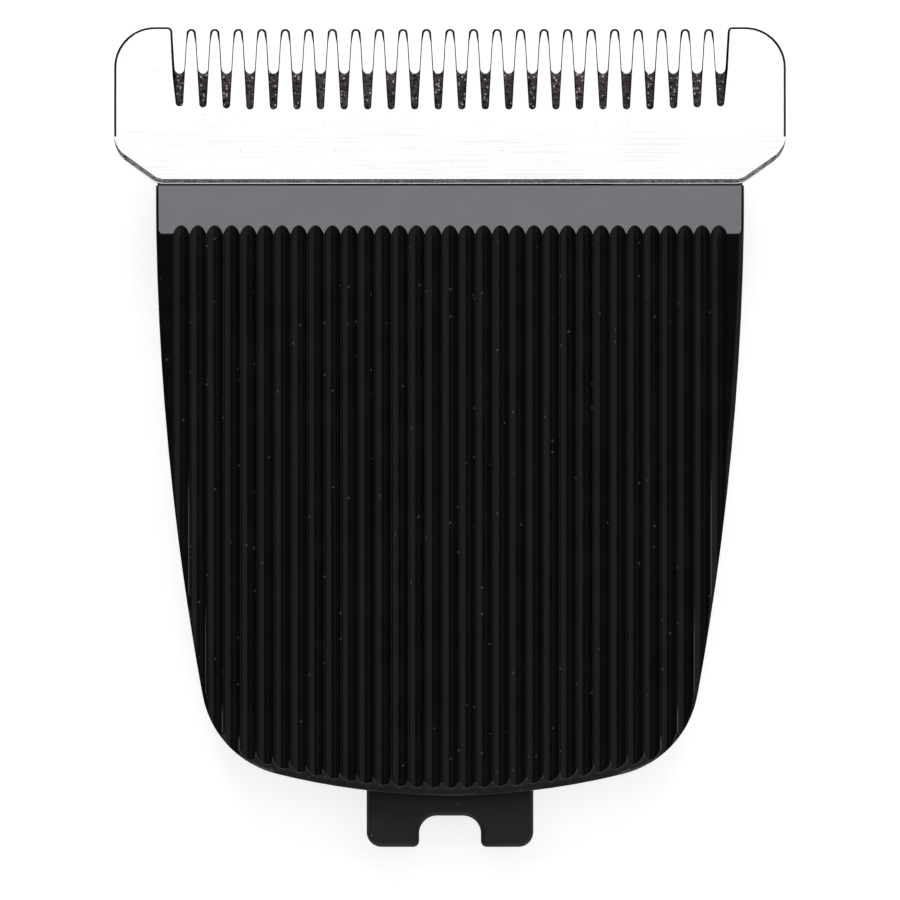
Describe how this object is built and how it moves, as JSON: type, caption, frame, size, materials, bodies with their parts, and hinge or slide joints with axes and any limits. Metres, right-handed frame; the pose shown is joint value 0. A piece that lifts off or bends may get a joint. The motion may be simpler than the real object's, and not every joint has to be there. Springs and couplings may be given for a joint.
{
  "type": "hair clipper blade",
  "caption": "Clip-on hair clipper blade head: polished steel comb plate with a sliding cutter behind it, on a black fluted plastic cover with a notched mounting tongue.",
  "frame": {"origin": "middle of the head, on the plane of the rear rim that it lies on", "axes": "+X across the blade, +Y to the tooth tips, +Z out of the outer face of the comb plate"},
  "size_m": [0.045, 0.055, 0.0129],
  "materials": {
    "polished_steel": "ground and polished",
    "cutter_steel": "dark, ground, with fine pits",
    "cover_plastic": "black, satin, fluted",
    "frame_plastic": "black, matt",
    "holder_plastic": "grey, smooth",
    "spring_steel": "rolled strip",
    "screw_steel": "plated"
  },
  "bodies": {
    "housing": {"ribbed_cover": "cover_plastic", "base_frame": "frame_plastic", "fixed_blade": "polished_steel", "blade_screws": "screw_steel", "cover_screws": "screw_steel", "spring_left": "spring_steel", "spring_right": "spring_steel"},
    "cutter": {"moving_blade": "cutter_steel", "cutter_holder": "holder_plastic"}
  },
  "joints": [
    {"name": "cutter_slide", "type": "slide", "parent": "housing", "child": "cutter", "axis": [1, 0, 0], "range_m": [-0.0012, 0.0012]}
  ]
}
